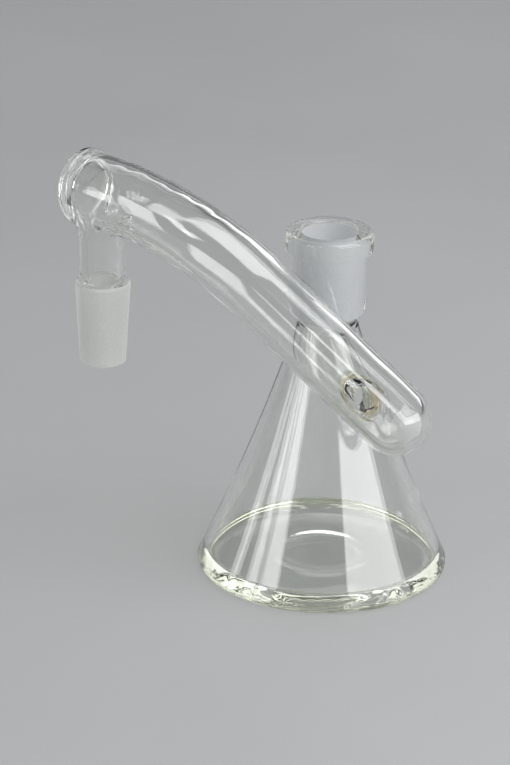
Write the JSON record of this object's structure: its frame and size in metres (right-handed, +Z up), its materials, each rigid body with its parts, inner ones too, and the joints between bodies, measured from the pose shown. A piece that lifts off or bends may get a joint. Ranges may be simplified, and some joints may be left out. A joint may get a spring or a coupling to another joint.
{
  "type": "conical dry trap",
  "caption": "Clear glass conical dry trap: a small flask with a ground socket on top, and a bent side arm from its flank to a hanging ground cone.",
  "frame": {"origin": "centre of the flat base, on the surface that the trap stands on", "axes": "+Z up along the axis of the cone and of the socket; -Y is the side that the arm crosses; the ground cone hangs at -X"},
  "size_m": [0.1038, 0.067, 0.1146],
  "materials": {
    "clear_glass": "clear borosilicate, fire-polished, with a faint yellow-green tint in thick edges",
    "ground_glass": "borosilicate with an evenly ground, frosted tapered face"
  },
  "bodies": {
    "root": {"cone_body": "clear_glass", "base_plate": "clear_glass", "heel_ring": "clear_glass", "waist_ring": "clear_glass", "joint_socket": "ground_glass", "rim_collar": "clear_glass", "arm_tube": "clear_glass", "arm_cap": "clear_glass", "port_tube": "clear_glass", "drop_stem": "clear_glass", "stem_weld": "clear_glass", "ground_cone": "ground_glass"}
  },
  "joints": []
}
